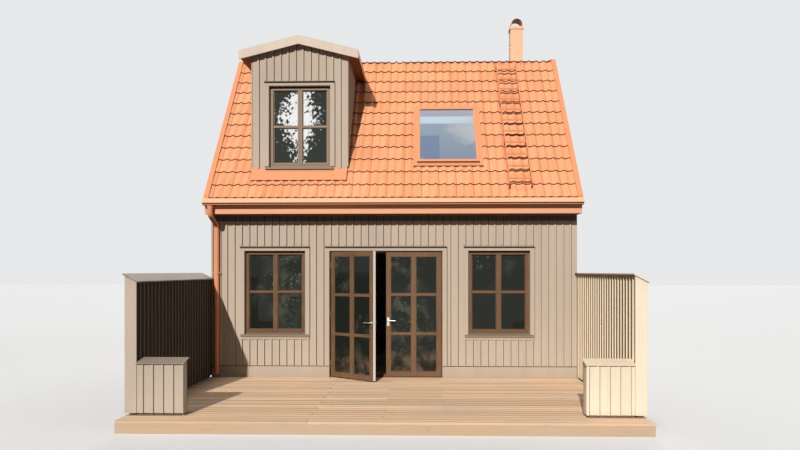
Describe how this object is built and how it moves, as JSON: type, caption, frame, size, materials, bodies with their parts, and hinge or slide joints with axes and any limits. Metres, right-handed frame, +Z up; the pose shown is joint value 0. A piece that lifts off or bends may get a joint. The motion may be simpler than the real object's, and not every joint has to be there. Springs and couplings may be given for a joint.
{
  "type": "terraced row house with a mansard roof",
  "caption": "Two-storey timber-clad terraced house with a tiled mansard roof, dormer, roof window and French door onto a deck between two boarded screens.",
  "frame": {"origin": "middle of the ground slab's underside, below the roof's ridge, at ground level", "axes": "+X along the row, to the right as seen from the terrace; +Y from the terrace to the rear; +Z up"},
  "size_m": [6.34, 12.282, 7.55],
  "materials": {
    "concrete": "cast concrete with a dull grey face",
    "floor_timber": "plain softwood boards",
    "wall_lining": "painted inner lining",
    "party_render": "smooth render on the party walls",
    "painted_boards": "matt opaque paint on sawn boards",
    "screen_boards": "matt opaque paint on sawn boards, worn near the deck",
    "clay_tiles": "matt orange pantiles with darker troughs",
    "tile_red_metal": "coated sheet steel in the tiles' orange",
    "eave_paint": "matt orange paint on planed boards",
    "sill_metal": "coated sheet steel in the walls' colour",
    "brown_timber": "satin brown paint on timber",
    "window_glass": "clear insulating glass, dark from outside",
    "satin_metal": "satin steel",
    "stack_metal": "coated sheet steel, paler than the tiles",
    "deck_timber": "oiled ribbed boards, greyed by use"
  },
  "bodies": {
    "house": {"ground_slab": "concrete", "ground_floor": "floor_timber", "upper_floor": "floor_timber", "front_wall_left": "wall_lining", "front_wall_right": "wall_lining", "front_wall_head": "wall_lining", "rear_wall": "wall_lining", "party_wall_left": "party_render", "party_wall_right": "party_render", "cladding": "painted_boards", "plinth_boards": "painted_boards", "roof_front": "floor_timber", "roof_rear": "floor_timber", "roof_top": "floor_timber", "tiles_front": "clay_tiles", "tiles_rear": "clay_tiles", "tiles_top": "clay_tiles", "ridge_tiles": "clay_tiles", "verge_flashings": "tile_red_metal", "eave_boards": "eave_paint", "gutters": "tile_red_metal", "downpipes": "tile_red_metal", "window_frames": "brown_timber", "window_glass": "window_glass", "window_casings": "painted_boards", "wall_flashings": "sill_metal", "door_frame": "brown_timber", "rear_door": "brown_timber", "rear_step": "concrete", "dormer_front": "painted_boards", "dormer_cheeks": "painted_boards", "dormer_roof": "tile_red_metal", "dormer_bargeboards": "painted_boards", "dormer_apron": "tile_red_metal", "roof_window_frame": "tile_red_metal", "roof_window_glass": "window_glass", "roof_ladder": "tile_red_metal", "vent_stack": "stack_metal", "vent_hood": "stack_metal", "deck_boards": "deck_timber", "deck_frame": "deck_timber", "screen_left": "screen_boards", "screen_right": "screen_boards", "low_walls": "screen_boards", "terrace_caps": "sill_metal"},
    "left_door": {"door_leaf_left": "brown_timber", "door_glass_left": "window_glass", "door_handle_left": "satin_metal"},
    "right_door": {"door_leaf_right": "brown_timber", "door_glass_right": "window_glass", "door_handle_right": "satin_metal"}
  },
  "joints": [
    {"name": "left_door_swing", "type": "hinge", "parent": "house", "child": "left_door", "pos_m": [-1.0355, -4.205, 1.1975], "axis": [0, 0, -1], "range_deg": [-36, 54]},
    {"name": "right_door_swing", "type": "hinge", "parent": "house", "child": "right_door", "pos_m": [0.8015, -4.205, 1.1975], "axis": [0, 0, 1], "range_deg": [0, 90]}
  ]
}
